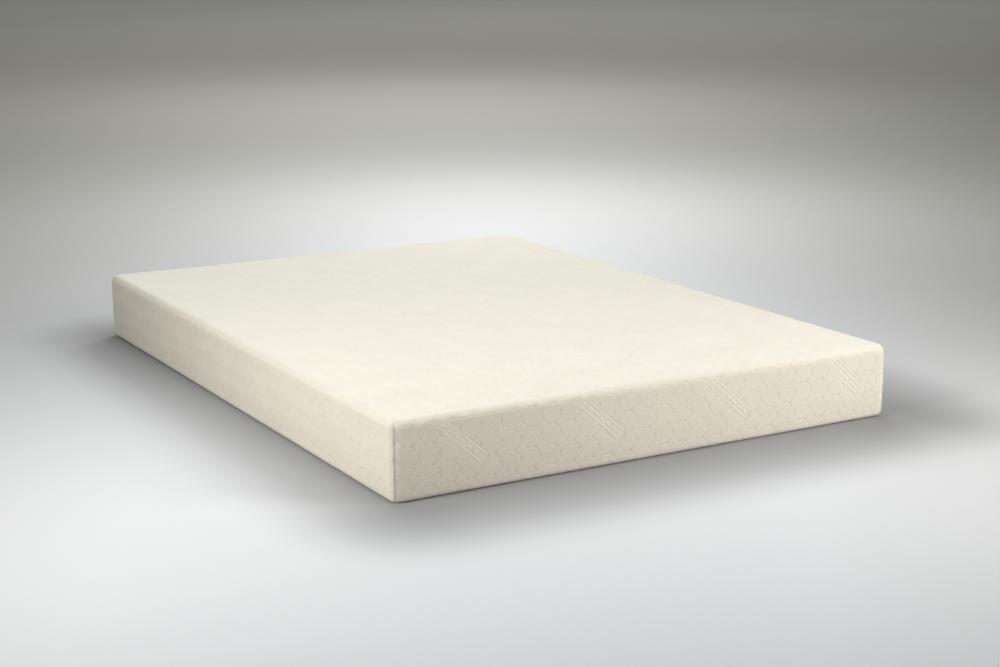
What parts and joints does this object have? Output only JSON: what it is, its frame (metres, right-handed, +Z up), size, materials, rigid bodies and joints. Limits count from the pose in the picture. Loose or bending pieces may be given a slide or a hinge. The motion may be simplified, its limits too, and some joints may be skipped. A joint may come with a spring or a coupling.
{
  "type": "memory foam mattress",
  "caption": "Low memory foam mattress with a two-layer foam core, inner knitted sleeve and zip-off fabric cover, zip along the lower head end.",
  "frame": {"origin": "middle of the underside, on the floor", "axes": "+Z up, +Y along the length to the head end, X across the width; the zip is on the +Y end"},
  "size_m": [1.524, 2.0361, 0.203],
  "materials": {
    "cover_knit": "matt raised double knit, cream",
    "base_knit": "plain knit with grip dots",
    "seam_cloth": "stitched cloth edge",
    "sock_knit": "plain white knit",
    "support_foam": "open-cell polyurethane foam",
    "comfort_foam": "open-cell viscoelastic foam",
    "zip_tape": "woven polyester tape",
    "zip_nylon": "satin nylon",
    "zinc": "nickel-plated zinc, satin",
    "label_cloth": "smooth white cloth, blank"
  },
  "bodies": {
    "mattress": {"base_foam": "support_foam", "comfort_foam": "comfort_foam", "fire_sock": "sock_knit", "cover_shell": "cover_knit", "cover_base": "base_knit", "base_seam_binding": "seam_cloth", "corner_seam_foot_left": "seam_cloth", "corner_seam_foot_right": "seam_cloth", "corner_seam_head_left": "seam_cloth", "corner_seam_head_right": "seam_cloth", "zip_tape_upper": "zip_tape", "zip_tape_lower": "zip_tape", "zip_coil_upper": "zip_nylon", "zip_coil_lower": "zip_nylon", "zip_guard": "zip_tape", "zip_top_stop": "zip_nylon", "zip_bottom_stop": "zip_nylon", "zip_end_tab_left": "zip_tape", "zip_end_tab_right": "zip_tape", "law_label": "label_cloth", "care_label": "label_cloth"},
    "slider": {"zip_slider": "zinc"},
    "pull": {"zip_pull": "zinc"}
  },
  "joints": [
    {"name": "zip_travel", "type": "slide", "parent": "mattress", "child": "slider", "axis": [1, 0, 0], "range_m": [0, 1.356]},
    {"name": "pull_flip", "type": "hinge", "parent": "slider", "child": "pull", "pos_m": [-0.677, 1.0178, 0.036], "axis": [0, 0, 1], "range_deg": [0, 170]}
  ]
}
